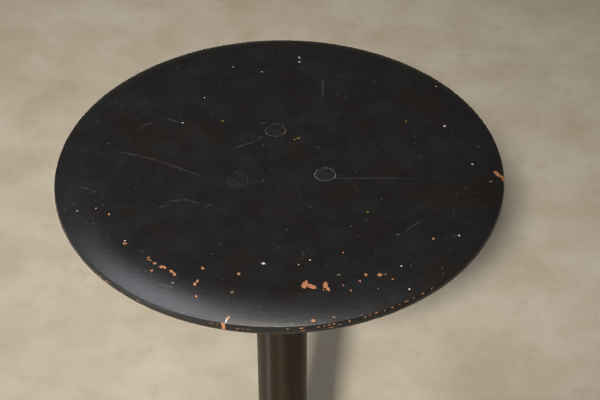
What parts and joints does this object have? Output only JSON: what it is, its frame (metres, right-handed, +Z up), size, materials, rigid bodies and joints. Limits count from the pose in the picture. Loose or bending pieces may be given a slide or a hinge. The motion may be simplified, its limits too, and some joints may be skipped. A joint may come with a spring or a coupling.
{
  "type": "machinist stool",
  "caption": "Round turned wooden seat, flush-bolted to a flange on a rising steel screw, over a tube column and a cast iron star base with rubber feet.",
  "frame": {"origin": "on the floor, under the column's axis", "axes": "+Z up the column; the picture looks along +Y with +X to the right, and the legs stand at 45 degrees between X and Y"},
  "size_m": [0.3602, 0.3602, 0.565],
  "materials": {
    "seat_paint": "black satin paint on turned beech, chipped to bare wood",
    "bolt_paint": "steel bolt heads painted over with the seat",
    "plated_steel": "dull zinc-plated fasteners",
    "flange_iron": "sand-cast iron, black japanned",
    "screw_steel": "cut screw steel, oiled",
    "bush_bronze": "turned bronze",
    "buffer_leather": "hard sole leather, oiled dark",
    "nut_steel": "machined hexagon steel, browned",
    "column_steel": "drawn steel tube, browned and worn smooth",
    "base_iron": "sand-cast iron, dark stoved enamel",
    "foot_rubber": "moulded black rubber"
  },
  "bodies": {
    "pedestal": {"base_casting": "base_iron", "column_tube": "column_steel", "column_nut": "nut_steel", "nut_grub_screws": "plated_steel", "buffer_washer": "buffer_leather", "column_set_screws": "plated_steel", "set_screw_lock_nuts": "plated_steel", "rubber_feet": "foot_rubber", "foot_washers": "plated_steel", "foot_screws": "plated_steel"},
    "steady": {"steady_bush": "bush_bronze"},
    "seat": {"seat_board": "seat_paint", "coach_bolts": "bolt_paint", "coach_bolt_washers": "plated_steel", "coach_bolt_nuts": "plated_steel", "seat_flange": "flange_iron", "hub_cross_pin": "plated_steel", "spindle": "screw_steel", "stop_washer": "screw_steel", "tail_washer": "plated_steel", "castle_nut": "plated_steel", "split_pin": "plated_steel"}
  },
  "joints": [
    {"name": "seat_rise", "type": "slide", "parent": "pedestal", "child": "steady", "axis": [0, 0, 1], "range_m": [-0.044, 0.088]},
    {"name": "seat_turn", "type": "hinge", "parent": "steady", "child": "seat", "pos_m": [0, 0, 0.5], "axis": [0, 0, 1], "range_deg": [-1980, 3960]}
  ],
  "couplings": [
    {"joint": "seat_rise", "follows": "seat_turn", "m_per_rad": 0.0012732}
  ]
}
